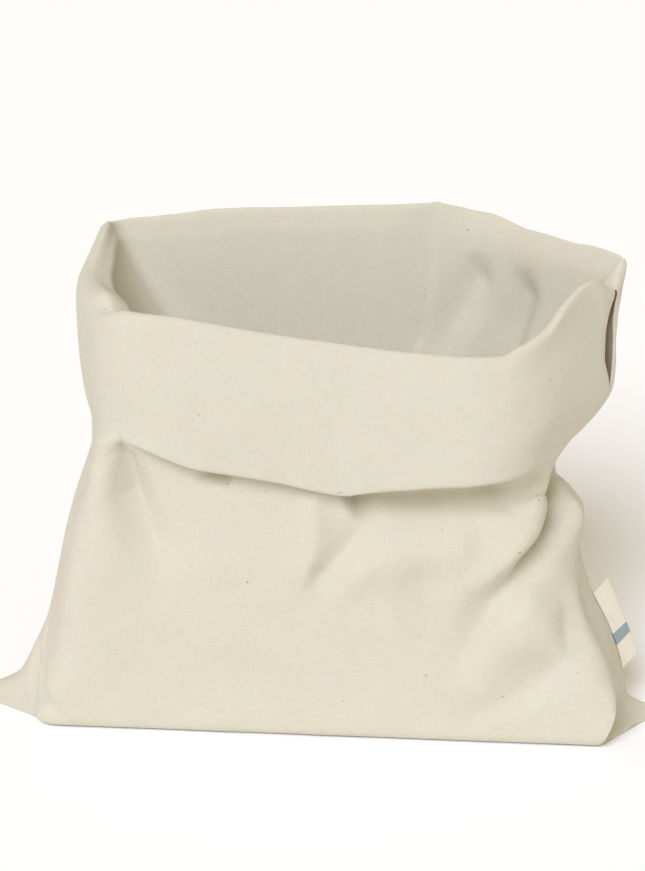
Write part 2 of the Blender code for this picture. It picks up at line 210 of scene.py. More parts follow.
# How much higher or lower the rim of each panel runs than its own level, in a few straight stretches
FRONT_RIM = (
    # across, rise
    (0, 0.0),
    (50, 0.0),
    (60, -3.0),
    (69, -6.0),
    (100, -6.4),
    (126, -8.2),
    (170, -12.8),
    (217, -16.0),
    (245, -17.7),
    (300, -18.0),
    (308, -14.8),
    (316, -12.8),
    (332, -7.6),
    (341, -2.0),
    (351, 1.4),
    (361, 3.4),
    (369, 3.4),
    (376, 1.0),
    (385, -5.4),
    (390, -8.2),
    (394, -10.5),
)
BACK_RIM = (
    # across, rise
    (0, 0.0),
    (62, -3.0),
    (67, -6.0),
    (77, -9.0),
    (90, -8.0),
    (110, -6.0),
    (133, -3.4),
    (181, -2.4),
    (234, -1.3),
    (248, -0.2),
    (252, 0.3),
    (256, -1.0),
    (265, -3.2),
    (275, -5.0),
    (286, -5.0),
    (296, -6.0),
    (306, -6.2),
    (323, -4.2),
    (348, -1.2),
    (362, 1.8),
    (384, 3.4),
    (388, 1.0),
    (394, -10.5),
)

# Cloth heights where that rise begins, in front and at the back, and where it is full
RIM_FROM = (236.0, 280.0)
RIM_FULL = 322.0

# Open stretch of the right side seam below the rim
SEAM_SLIT = (
    # cloth, width
    (258, 0.0),
    (265, 1.4),
    (272, 3.1),
    (279, 6.2),
    (287, 8.4),
    (295, 7.4),
    (303, 6.6),
    (311, 5.6),
    (318, 4.0),
    (323, 2.2),
    (326, 0.0),
)

# How far the right side seam sits in front of the bag's right corner
SEAM_FORWARD = (
    # cloth, distance
    (0, 2.0),
    (60, 3.0),
    (206, 5.0),
    (250, 6.0),
    (290, 6.5),
    (318, 9.0),
    (418, 9.0),
)

# Folds of the front panel. Each is a line of places in the cloth with its height there, a ridge positive
# and a trough negative, and how wide it is on the left and on the right of the line's run. The number
# after the name rounds its crest: a small one leaves a crisp crease.
FRONT_FOLDS = (
    # name, rounding, then across, cloth, height, width on the left, width on the right
    ("trough from the left vertex", 0.9,
     (80, 236, -2.0, 2.0, 4.0), (87, 219, -9.0, 5.0, 8.0), (98, 194, -14.0, 8.0, 12.0),
     (108, 167, -10.0, 11.0, 12.0), (120, 140, -2.0, 14.0, 12.0)),
    ("soft ridge beside it", 3.0,
     (66, 226, 1.0, 5.0, 5.0), (72, 206, 2.4, 6.0, 7.0), (80, 182, 2.0, 7.0, 8.0),
     (84, 150, 0.8, 8.0, 8.0)),
    ("pocket under the fold", 2.0,
     (143, 207, -5.0, 4.0, 4.0), (152, 206, -6.0, 4.0, 4.0)),
    ("left edge of the middle facet", 0.8,
     (214, 208, 2.0, 6.0, 8.0), (206, 176, 4.2, 6.0, 9.0), (201, 148, 1.6, 4.0, 8.0)),
    ("trough of the middle", 1.0,
     (238, 181, -2.5, 9.0, 7.0), (226, 167, -7.0, 9.0, 8.0), (212, 148, -7.4, 8.0, 6.0),
     (207, 139, -2.0, 7.0, 5.0)),
    ("notch beside the middle facet", 0.8,
     (228, 207, -15.0, 16.0, 2.0), (234, 183, -5.0, 6.0, 2.0)),
    ("hollow under the fold", 6.0,
     (250, 196, -7.0, 10.0, 12.0), (282, 196, -12.0, 10.0, 13.0), (322, 203, -12.0, 8.0, 10.0)),
    ("foot of the hollow", 9.0,
     (266, 184, -2.0, 10.0, 10.0), (300, 178, -4.0, 10.0, 10.0)),
    ("long soft ridge", 6.0,
     (222, 151, 3.6, 10.0, 9.0), (252, 162, 5.4, 12.0, 10.0), (288, 170, 5.0, 10.0, 9.0)),
    ("strip from the band", 2.5,
     (374, 246, 0.5, 8.0, 6.0), (368, 228, 3.0, 8.0, 7.0), (363, 208, 6.5, 8.0, 7.0),
     (350, 190, 7.0, 8.0, 6.0), (335, 176, 5.5, 8.0, 8.0), (308, 150, 3.0, 9.0, 9.0)),
    ("deep trough", 1.6,
     (393, 214, -4.0, 5.0, 6.0), (387, 197, -11.0, 6.0, 5.0), (369, 178, -14.0, 8.0, 6.0),
     (337, 157, -11.5, 8.0, 8.0), (307, 131, -9.5, 6.0, 9.0), (279, 101, -6.0, 6.0, 8.0),
     (262, 84, -1.5, 7.0, 7.0)),
    ("cross trough", 4.0,
     (270, 158, -1.6, 8.0, 8.0), (268, 134, -3.4, 8.0, 9.0), (266, 110, -3.4, 8.0, 9.0),
     (272, 90, -1.4, 6.0, 8.0)),
    ("side bulge", 9.0,
     (384, 172, 5.0, 11.0, 11.0), (368, 140, 5.0, 12.0, 12.0)),
    ("second trough", 2.0,
     (351, 119, -2.0, 5.0, 5.0), (340, 104, -5.6, 7.0, 8.0), (312, 86, -6.0, 7.0, 11.0),
     (274, 62, -2.2, 8.0, 10.0)),
    ("second ridge", 5.0,
     (328, 128, 3.0, 9.0, 9.0), (300, 108, 3.2, 9.0, 9.0), (266, 84, 1.8, 9.0, 9.0)),
    ("upright ridge", 3.0,
     (360, 122, 2.6, 7.0, 5.0), (354, 92, 2.0, 8.0, 6.0)),
    ("upper crease of the left ear", 1.0,
     (10, 88, -1.2, 3.0, 3.0), (18, 76, -3.4, 3.0, 3.0), (24, 64, -1.6, 3.0, 3.0)),
    ("lower crease of the left ear", 1.0,
     (9, 62, -4.0, 3.5, 3.5), (20, 52, -5.4, 4.0, 4.0), (34, 46, -2.0, 4.0, 4.0)),
    ("crease of the left foot", 1.4,
     (15, 78, -1.6, 3.0, 4.0), (23, 65, -5.6, 3.0, 6.0), (38, 60, -6.4, 3.0, 7.0),
     (53, 57, -3.0, 3.0, 5.0)),
    ("pleat of the left rim", 0.6,
     (50, 311, -1.0, 6.0, 2.5), (60, 320, -4.2, 6.0, 2.5), (70, 330, -5.0, 7.0, 3.0)),
    ("lip of the open seam", 0.7,
     (393, 309, 1.0, 3.0, 3.0), (384, 318, 1.1, 2.5, 3.0), (373, 322, 0.3, 3.0, 3.0)),
)

# Folds of the back panel. On the flap, which faces into the bag, its height is towards the inside.
BACK_FOLDS = (
    # name, rounding, then across, cloth, height, width on the left, width on the right
    ("neck trough", 14.0,
     (60, 212, -4.0, 9.0, 9.0), (300, 212, -5.0, 9.0, 9.0)),
    ("right bulge", 14.0,
     (330, 160, 4.0, 14.0, 14.0), (300, 120, 3.0, 14.0, 14.0)),
    ("cross trough", 5.0,
     (320, 200, -5.0, 9.0, 9.0), (220, 110, -2.0, 12.0, 9.0)),
    ("left trough", 5.0,
     (80, 200, -4.0, 9.0, 9.0), (140, 120, -1.5, 10.0, 10.0)),
    ("press crease outside", 0.5,
     (252, 290, 0.3, 6.0, 6.0), (252, 320, 0.8, 4.0, 4.0)),
    ("press crease inside", 0.5,
     (253, 332, -1.2, 6.0, 2.0), (253, 342, -2.8, 12.0, 3.0), (250, 404, -2.0, 14.0, 4.0)),
    ("dent in the flap", 3.0,
     (290, 354, -1.5, 3.0, 3.0), (286, 364, -6.5, 8.0, 5.0), (277, 382, -5.5, 11.0, 7.0),
     (266, 402, -3.0, 12.0, 9.0)),
    ("dent by the corner", 4.0,
     (325, 355, -1.5, 4.0, 4.0), (322, 366, -7.5, 10.0, 7.0), (318, 386, -10.0, 14.0, 9.0),
     (317, 406, -11.0, 15.0, 10.0)),
)

# Slow unevenness of the cloth: wave lengths across and up the cloth, its height and its start
UNEVEN = (
    # across, cloth, height, start
    (71.0, 190.0, 0.24, 0.4),
    (43.0, -118.0, 0.15, 1.9),
    (29.0, 83.0, 0.09, 3.1),
    (-61.0, 52.0, 0.13, 4.4),
    (23.0, 31.0, 0.05, 0.9),
)

# Each wave sways along its own run: by how much, and how much more slowly
SWAY = 0.8
SWAY_SLOWER = 2.7

# The band lies smoother than the body: where the unevenness fades, and what is left of it above
BAND_EVEN = (196.0, 236.0)
BAND_UNEVEN = 0.35

# Section of a fold, in widths from its crest: where its straight flank would end, up to where the flank
# is straight, and where its soft foot ends
FLANK = 1.5
FLANK_STRAIGHT = 0.9
FLANK_FOOT = 2.1

# Distance over which folds die out towards the seams and the floor
SEAM_CALM = 10.0
FLOOR_CALM = (42.0, 58.0)

# The ears stand off the floor: folds reach further down there, by a height of cloth, near the seams
EAR_REACH = 34.0
EAR_WIDE = (16.0, 46.0)

# Rounding of a level's six corners
CORNER_ROUND = (
    # cloth, left seam, front left, front right, right seam, back right, back left
    (0, 0.7, 1.0, 1.0, 0.5, 1.0, 1.0),
    (34, 12.0, 8.0, 2.5, 3.0, 18.0, 14.0),
    (50, 22.0, 10.0, 1.5, 5.0, 26.0, 24.0),
    (66, 28.0, 12.0, 1.5, 5.0, 30.0, 30.0),
    (80, 31.5, 16.0, 9.0, 5.5, 35.0, 35.0),
    (110, 31.5, 16.0, 28.0, 5.5, 35.0, 35.0),
    (140, 31.5, 14.0, 35.0, 5.5, 35.0, 35.0),
    (224, 31.5, 14.0, 35.0, 5.5, 35.0, 35.0),
    (250, 31.5, 32.0, 35.0, 5.5, 35.0, 35.0),
    (300, 26.0, 32.0, 32.0, 2.5, 26.0, 20.0),
    (322, 20.0, 26.0, 30.0, 1.5, 20.0, 12.0),
    (342, 20.0, 26.0, 32.0, 3.0, 24.0, 14.0),
    (418, 31.5, 35.0, 35.0, 5.5, 35.0, 35.0),
)
ARC_STEPS = 31

# Largest share of a side that the arc of a corner takes
ARC_SHARE = 0.49

# Mesh density: columns from a seam to the corner of the wall, between the corners, and past the right
# corner, then the rows between two cloth heights
COLUMNS = (22, 130, 8)
ROW_BANDS = (
    # from, to, rows
    (0, 34, 20),
    (34, 56, 20),
    (56, 190, 72),
    (190, 206, 12),
    (206, 246, 40),
    (246, 308, 34),
    (308, 320, 10),
    (320, 332, 17),
    (332, 347, 17),
    (347, 418, 23),
)

# Edges sharper than this are the cut edges of a sheet
SHARP_EDGE = math.radians(60)

# Edges of the open seam are turned in: how far, and over which width of cloth
EDGE_TURN = 1.6
EDGE_WIDTH = 5.0

# The label: its two cloth heights on the seam, how far it turns back from the bag's plane, and how far
# it stays off the seam
LABEL_LOW_END = 54.0
LABEL_HIGH_END = 104.0
LABEL_TURN = math.radians(60)
LABEL_CLEARANCE = 0.4

# Its slow bend along the seam and where that starts, half the distance between its two layers, how late
# they close at the fold, and its mesh density
LABEL_CURL = 0.6
LABEL_CURL_SHIFT = 0.2
LABEL_FOLD_ROUND = 0.5
LABEL_FOLD_CLOSE = 6
LABEL_GRID = (36, 60)

# Its dyed stripe: where it begins and ends up the tape, and how soft its edges are, in metres
STRIPE = (0.0135, 0.0200)
STRIPE_BLUR = 0.0002

# Names of the materials
COTTON = "unbleached_cotton_plain_weave"
TAPE = "cotton_tape_ribbed"
PAPER = "background_paper_matt"

# Length after which a wave texture of scale 1 repeats
WAVE_LENGTH = math.pi / 10

# Distance between two drawn ribs of the tape, in metres
RIB_SPACING = 0.000698

# Slubs, the thick and thin stretches of thread, by how many fit in a metre across and up the cloth: they
# are 8 to 9 mm long and 0.6 mm wide
SLUBS = (
    (110.0, 1700.0, 1.0),
    (1700.0, 130.0, 1.0),
)

# Clouds of a darker tone, by how many fit in a metre, and their share in the tone
CLOUDS = 26.0
CLOUD_SHARE = 0.18

# Tones of the darkest and of the lightest cotton
TONES = (0.30, 0.80)

# Flecks of seed coat, large and few, then small and many
FLECKS = (
    # spacing in metres, largest radius in spacings, share of places without one, strength
    (0.012, 0.070, 0.30, 0.62),
    (0.006, 0.100, 0.45, 0.40),
)

# Key light: its side and height in degrees, its softness, strength and colour
KEY_SIDE = -13.0
KEY_HEIGHT = 40.0
KEY_SPREAD = 28.0
KEY_STRENGTH = 2.34
KEY_COLOUR = (0.975, 1.01, 1.20)

# Light from all round, warmer than the key, which warms the shadows
ROOM_COLOUR = (1.0, 0.91, 0.71, 1.0)
ROOM_STRENGTH = 0.56

# Side of the floor, in metres
FLOOR_SIDE = 24.0

# Camera: its direction and distance, the point it looks at in the tables' own axes, in millimetres, its
# lens, and how far it sees, in metres
CAMERA_ELEVATION = math.radians(22.0)
CAMERA_AZIMUTH = math.radians(5.0)
CAMERA_DISTANCE = 1800.0
CAMERA_AIM = np.array([3.9, 0.0, 163.9])
CAMERA_LENS = 133.9
CAMERA_FAR = 50.0
SENSOR = 36.0


# Properties

class BagProperties(bpy.types.PropertyGroup):
    """Sizes and colours of the bag."""

    cloth_width: FloatProperty(
        name="Cloth Width", description="Width of a panel between its side seams, in millimetres",
        default=394.0)
    cloth_thick: FloatProperty(
        name="Cloth Thickness", description="Thickness of the cotton", default=0.0005, unit="LENGTH")
    label_width: FloatProperty(
        name="Label Width", description="How far the folded tape stands out of the seam, in millimetres",
        default=18.0)
    tape_thick: FloatProperty(
        name="Tape Thickness", description="Thickness of the label's tape", default=0.0003,
        unit="LENGTH")
    thread_spacing: FloatProperty(
        name="Thread Spacing", description="Distance between two drawn threads", default=0.00075,
        unit="LENGTH")
    soften_rounds: IntProperty(
        name="Soften", description="How often the cloth is softened along its length", default=3, min=0)
    cotton: StringProperty(
        name="Cotton", description="Colour of the unbleached cotton", default="D2CDBB")
    cotton_dark: StringProperty(
        name="Cotton Dark", description="Colour of its darker threads", default="C6C0AB")
    fleck: StringProperty(name="Fleck", description="Colour of the seed flecks", default="7E6546")
    tape: StringProperty(name="Tape", description="Ground colour of the label", default="E9E4D2")
    stripe: StringProperty(name="Stripe", description="Plain stripe of the label", default="8FA6A8")
    paper: StringProperty(name="Floor", description="Colour of the studio floor", default="FEFEFE")


# Curves and folds

def smooth_step(low, high, value):
    """Share from 0 to 1 that rises smoothly between two values."""
    t = np.clip((np.asarray(value, float) - low) / (high - low), 0.0, 1.0)
    return t * t * (3 - 2 * t)


def table_curve(table, column, where):
    """Smooth curve through one column of a table, read at any places, that never overshoots its rows."""
    x = np.array([row[0] for row in table], float)
    y = np.array([row[column] for row in table], float)
    step = np.diff(x)
    rise = np.diff(y) / step
    slope = np.zeros_like(y)
    slope[0] = rise[0]
    slope[-1] = rise[-1]
    for i in range(1, len(x) - 1):
        if rise[i - 1] * rise[i] > 0:
            near = 2 * step[i] + step[i - 1]
            far = step[i] + 2 * step[i - 1]
            slope[i] = (near + far) / (near / rise[i - 1] + far / rise[i])
    where = np.clip(np.asarray(where, float), x[0], x[-1])
    i = np.clip(np.searchsorted(x, where, side="right") - 1, 0, len(rise) - 1)
    t = (where - x[i]) / step[i]
    start = (1 + 2 * t) * (1 - t) ** 2 * y[i] + t * (1 - t) ** 2 * step[i] * slope[i]
    end = t * t * (3 - 2 * t) * y[i + 1] + t * t * (t - 1) * step[i] * slope[i + 1]
    return start + end


def rounded_corner(before, corner, after, radius):
    """Soft arc that leaves one side of a polygon and joins the next."""
    start, end = (corner + (point - corner) / np.linalg.norm(point - corner)
                  * min(radius, ARC_SHARE * np.linalg.norm(point - corner)) for point in (before, after))
    t = np.linspace(0.0, 1.0, ARC_STEPS)[:, None]
    return (1 - t) ** 2 * start + 2 * t * (1 - t) * corner + t * t * end


def level_halves(cloth):
    """Outline of the bag at a cloth height: left end, wall and right end of its front and its back."""
    seams = np.array([table_curve(SEAMS, k, cloth) for k in range(1, 7)])
    left_x, left_y, _, right_x, right_y, _ = seams
    corners = [seams[:3]]
    for table, order in ((FRONT, 1), (BACK, -1)):
        y, z_left, z_right, in_left, in_right = (table_curve(table, k, cloth) for k in range(1, 6))
        pair = [np.array([left_x + in_left, left_y + y, z_left]),
                np.array([right_x - in_right, right_y + y, z_right])]
        corners += pair[::order]
        if table is FRONT:
            corners.append(seams[3:])
    radii = [float(table_curve(CORNER_ROUND, k, cloth)) for k in range(1, 7)]
    arcs = []
    for i, corner in enumerate(corners):
        arcs.append(rounded_corner(corners[i - 1], corner, corners[(i + 1) % len(corners)], radii[i]))
    middle = ARC_STEPS // 2
    cut = [(arc[:middle + 1], arc[middle:]) for arc in arcs]
    stretches = [np.vstack([leave[1], enter[0]]) for leave, enter in zip(cut, cut[1:] + cut[:1])]
    half = len(stretches) // 2
    return stretches[:half], [stretch[::-1] for stretch in stretches[:half - 1:-1]]


def path_length(path):
    """Length along a path up to each of its points."""
    return np.r_[0.0, np.cumsum(np.linalg.norm(np.diff(path, axis=0), axis=1))]


def level_points(side, cloth, width):
    """Points of one panel at a cloth height, from left seam to right, and their place across."""
    front, back = level_halves(cloth)
    end, wall, lap = COLUMNS
    forward = float(table_curve(SEAM_FORWARD, 1, cloth))
    trim = float(table_curve(SEAM_SLIT, 1, cloth)) / 2
    stretches = [path_length(part)[-1] for part in (front if side == "front" else back)]
    knots = np.r_[0.0, np.cumsum(stretches)]
    counts = [end, wall, end]
    if side == "front":
        path = np.vstack(front)
        knots[-1] -= forward + trim
    else:
        path = np.vstack(back + [front[2][::-1]])
        knots = np.r_[knots, knots[-1] + forward - trim]
        counts.append(lap)
    places = np.concatenate([np.linspace(low, high, count, endpoint=False)
                             for low, high, count in zip(knots[:-1], knots[1:], counts)] + [knots[-1:]])
    length = path_length(path)
    points = np.stack([np.interp(places, length, path[:, axis]) for axis in range(3)], axis=1)
    return points, width * (places - places[0]) / (places[-1] - places[0])


def fold_height(across, cloth, fold):
    """Height of one fold over the cloth: flat flanks from its line outwards, which die out softly."""
    rounding, places = fold[1], fold[2:]
    height = np.zeros_like(across)
    for start, end in zip(places, places[1:]):
        run = np.array(end[:2], float) - start[:2]
        length = np.hypot(*run)
        across_off, cloth_off = across - start[0], cloth - start[1]
        share = np.clip((across_off * run[0] + cloth_off * run[1]) / length ** 2, 0.0, 1.0)
        away = np.hypot(across_off - share * run[0], cloth_off - share * run[1])
        left = 0.5 + 0.5 * np.tanh((run[0] * cloth_off - run[1] * across_off) / length / (1 + rounding))
        crest, wide_left, wide_right = (start[k] + (end[k] - start[k]) * share for k in (2, 3, 4))
        width = wide_right + (wide_left - wide_right) * left
        steps = (np.hypot(away, rounding) - rounding) / width
        foot = np.clip(FLANK_FOOT - steps, 0.0, None) ** 2 / (2 * FLANK * (FLANK_FOOT - FLANK_STRAIGHT))
        part = crest * np.where(steps < FLANK_STRAIGHT, 1 - steps / FLANK, foot)
        height = np.where(np.abs(part) > np.abs(height), part, height)
    return height


def tucked(points, across, cloth):
    """The front with its hanging fold, whose section is read where the fold's lowest line runs."""
    line, lift, out, spread = (table_curve(SPAN, k, across) for k in (1, 2, 3, 4))
    from_line = (cloth - line) / spread
    points[..., 1] -= table_curve(TUCK, 1, from_line) * out
    points[..., 2] += table_curve(TUCK, 2, from_line) * lift
    return points


def uneven_height(across, cloth):
    """Slow waves of a few tenths of a millimetre that keep a stretch of cloth from looking machined."""
    height = np.zeros_like(across)
    for across_wave, cloth_wave, size, start in UNEVEN:
        turn = 2 * math.pi * (across / across_wave + cloth / cloth_wave) + start
        height = height + size * np.sin(turn + SWAY * np.sin(turn / SWAY_SLOWER + start))
    return height * (1 - (1 - BAND_UNEVEN) * smooth_step(*BAND_EVEN, cloth))


def surface_normals(points, turn):
    """Unit normals of a surface given as rows and columns of points."""
    normal = turn * np.cross(np.gradient(points, axis=1), np.gradient(points, axis=0))
    return normal / np.linalg.norm(normal, axis=2, keepdims=True)


def softened(points, rounds):
    """The surface with each row drawn towards the rows beside it, its first and last row kept."""
    for _ in range(rounds):
        points[1:-1] = 0.25 * points[:-2] + 0.5 * points[1:-1] + 0.25 * points[2:]
    return points


def cloth_rows():
    """Cloth heights of the mesh rows, closer together where the cloth folds over."""
    heights = [float(ROW_BANDS[0][0])]
    for low, high, rows in ROW_BANDS:
        heights += [low + (high - low) * k / rows for k in range(1, rows + 1)]
    return np.array(heights)


def panel_surface(side, width, rounds):
    """Middle surface of one panel, with the place across and the cloth height of each of its points."""
    heights = cloth_rows()
    levels = [level_points(side, cloth, width) for cloth in heights]
    points = np.array([level[0] for level in levels])
    across = np.array([level[1] for level in levels])
    cloth = np.repeat(heights[:, None], across.shape[1], axis=1)
    if side == "front":
        points = tucked(points, across, cloth)
    rim, rim_from = (FRONT_RIM, RIM_FROM[0]) if side == "front" else (BACK_RIM, RIM_FROM[1])
    points[..., 2] += table_curve(rim, 1, across) * smooth_step(rim_from, RIM_FULL, cloth)
    points = softened(points, rounds)
    turn = 1 if side == "front" else -1
    height = uneven_height(across if side == "front" else across + width, cloth)
    for fold in (FRONT_FOLDS if side == "front" else BACK_FOLDS):
        height = height + fold_height(across, cloth, fold)
    from_seam = np.minimum(across, width - across)
    ear = EAR_REACH * (1 - smooth_step(*EAR_WIDE, from_seam))
    height = height * smooth_step(0.0, SEAM_CALM, from_seam) * smooth_step(*FLOOR_CALM, cloth + ear)
    slit = table_curve(SEAM_SLIT, 1, cloth) / max(row[1] for row in SEAM_SLIT)
    height -= EDGE_TURN * slit * np.clip(1 - (width - across) / EDGE_WIDTH, 0.0, 1.0) ** 2
    return points + surface_normals(points, turn) * height[..., None], across, cloth


# Materials

def linear(hex_colour):
    """An sRGB hex colour as linear red, green, blue and alpha."""
    values = [int(hex_colour[i:i + 2], 16) / 255 for i in (0, 2, 4)]
    return [v / 12.92 if v <= 0.04045 else ((v + 0.055) / 1.055) ** 2.4 for v in values] + [1.0]


def node(tree, kind, settings=(), links=()):
    """Adds a node with its settings and links. A socket goes by name or number, a property by name."""
    made = tree.nodes.new(kind)
    for name, value in dict(settings).items():
        if isinstance(name, int) or name in made.inputs:
            made.inputs[name].default_value = value
        else:
            setattr(made, name, value)
    for name, source in dict(links).items():
        tree.links.new(source, made.inputs[name])
    return made


def new_material(name):
    """An empty material with its shader and output."""
    material = bpy.data.materials.new(name)
    material.use_nodes = True
    tree = material.node_tree
    tree.nodes.clear()
    shader = tree.nodes.new("ShaderNodeBsdfPrincipled")
    output = tree.nodes.new("ShaderNodeOutputMaterial")
    tree.links.new(shader.outputs["BSDF"], output.inputs["Surface"])
    return material, tree, shader


def math_node(tree, operation, settings, links):
    """A math node's value."""
    return node(tree, "ShaderNodeMath", {"operation": operation, **settings}, links).outputs[0]


def blend(tree, colours, links):
    """A colour mixed from two, the first on socket 6 and the second on socket 7."""
    return node(tree, "ShaderNodeMix", {"data_type": "RGBA", **colours}, links).outputs[2]


def woven_cotton(props):
    """Unbleached cotton in plain weave: matt, cream, with thick and thin threads and small seed flecks.

    The real threads lie 0.45 mm apart, finer than a pixel, so they are drawn 0.75 mm apart.
    """
    material, tree, shader = new_material(COTTON)
    uv = node(tree, "ShaderNodeUVMap", {"uv_map": "cloth"}).outputs["UV"]
    threads = []
    for direction in ("X", "Y"):
        threads.append(node(tree, "ShaderNodeTexWave", {
            "wave_type": "BANDS", "bands_direction": direction, "wave_profile": "SIN",
            "Scale": WAVE_LENGTH / props.thread_spacing, "Distortion": 0.6, "Detail": 1.0,
            "Detail Scale": 0.35}, {"Vector": uv}).outputs["Fac"])
    weave = math_node(tree, "MULTIPLY", {}, {0: threads[0], 1: threads[1]})

    # Thick and thin stretches of thread, drawn out along the one way of the weave and then the other
    slubs = []
    for stretch in SLUBS:
        along = node(tree, "ShaderNodeMapping", {"Scale": stretch}, {"Vector": uv}).outputs["Vector"]
        slubs.append(node(tree, "ShaderNodeTexNoise", {"Scale": 1.0, "Detail": 2.0, "Roughness": 0.55},
                          {"Vector": along}).outputs["Fac"])
    slub = math_node(tree, "ADD", {}, {0: slubs[0], 1: slubs[1]})

    # Slightly cloudy tone, as in cloth that was never dyed
    cloudy = node(tree, "ShaderNodeTexNoise", {"Scale": CLOUDS, "Detail": 3.0, "Roughness": 0.6},
                  {"Vector": uv}).outputs["Fac"]
    tone = math_node(tree, "MULTIPLY_ADD", {1: 0.5, 2: 0.0}, {0: slub})
    tone = math_node(tree, "MULTIPLY_ADD", {1: CLOUD_SHARE}, {0: cloudy, 2: tone})
    ground = node(tree, "ShaderNodeValToRGB", {}, {"Fac": tone})
    for stop, place, hex_colour in zip(ground.color_ramp.elements, TONES,
                                       (props.cotton_dark, props.cotton)):
        stop.position = place
        stop.color = linear(hex_colour)
    colour = ground.outputs["Color"]

    # Seed flecks, each a dot in a cell of its own
    for spacing, size, share, strength in FLECKS:
        cells = node(tree, "ShaderNodeTexVoronoi", {"Scale": 1 / spacing, "Randomness": 1.0},
                     {"Vector": uv})
        chance = node(tree, "ShaderNodeSeparateColor", {}, {"Color": cells.outputs["Color"]})
        radius = node(tree, "ShaderNodeMapRange", {"From Min": share, "To Max": size},
                      {"Value": chance.outputs["Red"]}).outputs["Result"]
        inside = math_node(tree, "SUBTRACT", {}, {0: radius, 1: cells.outputs["Distance"]})
        fleck = node(tree, "ShaderNodeMapRange", {"From Max": size / 3, "To Max": strength},
                     {"Value": inside}).outputs["Result"]
        colour = blend(tree, {7: linear(props.fleck)}, {0: fleck, 6: colour})
    tree.links.new(colour, shader.inputs["Base Color"])

    relief = math_node(tree, "MULTIPLY_ADD", {1: 0.9}, {0: slub, 2: weave})
    bump = node(tree, "ShaderNodeBump", {"Strength": 0.35, "Distance": 0.00012}, {"Height": relief})
    tree.links.new(bump.outputs["Normal"], shader.inputs["Normal"])
    shader.inputs["Roughness"].default_value = 0.92
    shader.inputs["Specular IOR Level"].default_value = 0.1
    shader.inputs["Sheen Weight"].default_value = 0.02
    shader.inputs["Sheen Roughness"].default_value = 0.5

    # Some light passes through the threads, red further than blue, which softens and warms the folds
    shader.inputs["Subsurface Weight"].default_value = 0.45
    shader.inputs["Subsurface Radius"].default_value = (1.0, 0.65, 0.35)
    shader.inputs["Subsurface Scale"].default_value = 0.0016
    return material


def woven_tape(props):
    """Cotton tape woven with a fine rib and one plain dyed stripe: smoother than the bag's cloth.

    The real ribs lie about 0.5 mm apart, finer than a pixel, so they are drawn 0.7 mm apart.
    """
    material, tree, shader = new_material(TAPE)
    uv = node(tree, "ShaderNodeUVMap", {"uv_map": "cloth"}).outputs["UV"]
    rib = node(tree, "ShaderNodeTexWave", {
        "wave_type": "BANDS", "bands_direction": "Y", "Scale": WAVE_LENGTH / RIB_SPACING,
        "Distortion": 0.4}, {"Vector": uv}).outputs["Fac"]
    up = node(tree, "ShaderNodeSeparateXYZ", {}, {"Vector": uv}).outputs["Y"]
    edges = []
    for edge, blur in zip(STRIPE, (STRIPE_BLUR, -STRIPE_BLUR)):
        edges.append(node(tree, "ShaderNodeMapRange", {"From Min": edge - blur, "From Max": edge + blur},
                          {"Value": up}).outputs["Result"])
    stripe = math_node(tree, "MULTIPLY", {}, {0: edges[0], 1: edges[1]})
    shade = math_node(tree, "MULTIPLY_ADD", {1: 0.12, 2: 0.0}, {0: rib})
    ground = blend(tree, {6: linear(props.tape), 7: linear(props.cotton_dark)}, {0: shade})
    colour = blend(tree, {7: linear(props.stripe)}, {0: stripe, 6: ground})
    tree.links.new(colour, shader.inputs["Base Color"])
    bump = node(tree, "ShaderNodeBump", {"Strength": 0.4, "Distance": 0.0001}, {"Height": rib})
    tree.links.new(bump.outputs["Normal"], shader.inputs["Normal"])
    shader.inputs["Roughness"].default_value = 0.75
    shader.inputs["Sheen Weight"].default_value = 0.08
    return material


def studio_paper(props):
    """Matt white background paper, without grain at this distance."""
    material, _, shader = new_material(PAPER)
    shader.inputs["Base Color"].default_value = linear(props.paper)
    shader.inputs["Roughness"].default_value = 0.9
    shader.inputs["Specular IOR Level"].default_value = 0.2
    return material


# Pieces

def draped_sheet(name, points, across, cloth, thick, material):
    """A thin sheet on a surface given as rows and columns of points, its UV map in metres of cloth."""
    rows, columns = across.shape
    bpy.ops.object.select_all(action="DESELECT")
    bpy.ops.mesh.primitive_grid_add(x_subdivisions=columns - 1, y_subdivisions=rows - 1, size=2.0)
    sheet = bpy.context.active_object
    sheet.name = name
    mesh = sheet.data
    mesh.name = name
    place = np.empty(len(mesh.vertices) * 3)
    mesh.vertices.foreach_get("co", place)
    place = place.reshape(-1, 3)
    column = np.rint((place[:, 0] + 1) / 2 * (columns - 1)).astype(int)
    row = np.rint((place[:, 1] + 1) / 2 * (rows - 1)).astype(int)
    mesh.vertices.foreach_set("co", ((points[row, column] - BOX_MIDDLE) * MM).ravel())
    corner = np.empty(len(mesh.loops), int)
    mesh.loops.foreach_get("vertex_index", corner)
    flat = np.stack([across[row, column], cloth[row, column]], axis=1) * MM
    for layer in list(mesh.uv_layers):
        mesh.uv_layers.remove(layer)
    mesh.uv_layers.new(name="cloth").data.foreach_set("uv", flat[corner].ravel())
    for edge, number in (("left_seam", 0), ("right_seam", columns - 1)):
        mark = mesh.attributes.new(edge, "INT", "POINT")
        mark.data.foreach_set("value", np.where(column == number, row + 1, 0).astype(np.int32))
    mesh.materials.append(material)
    mesh.shade_smooth()
    shell = sheet.modifiers.new("cloth thickness", "SOLIDIFY")
    shell.thickness = thick
    shell.offset = 0.0
    bpy.ops.object.modifier_apply(modifier=shell.name)
    mesh.set_sharp_from_angle(angle=SHARP_EDGE)
    bpy.ops.object.select_all(action="DESELECT")
    return sheet


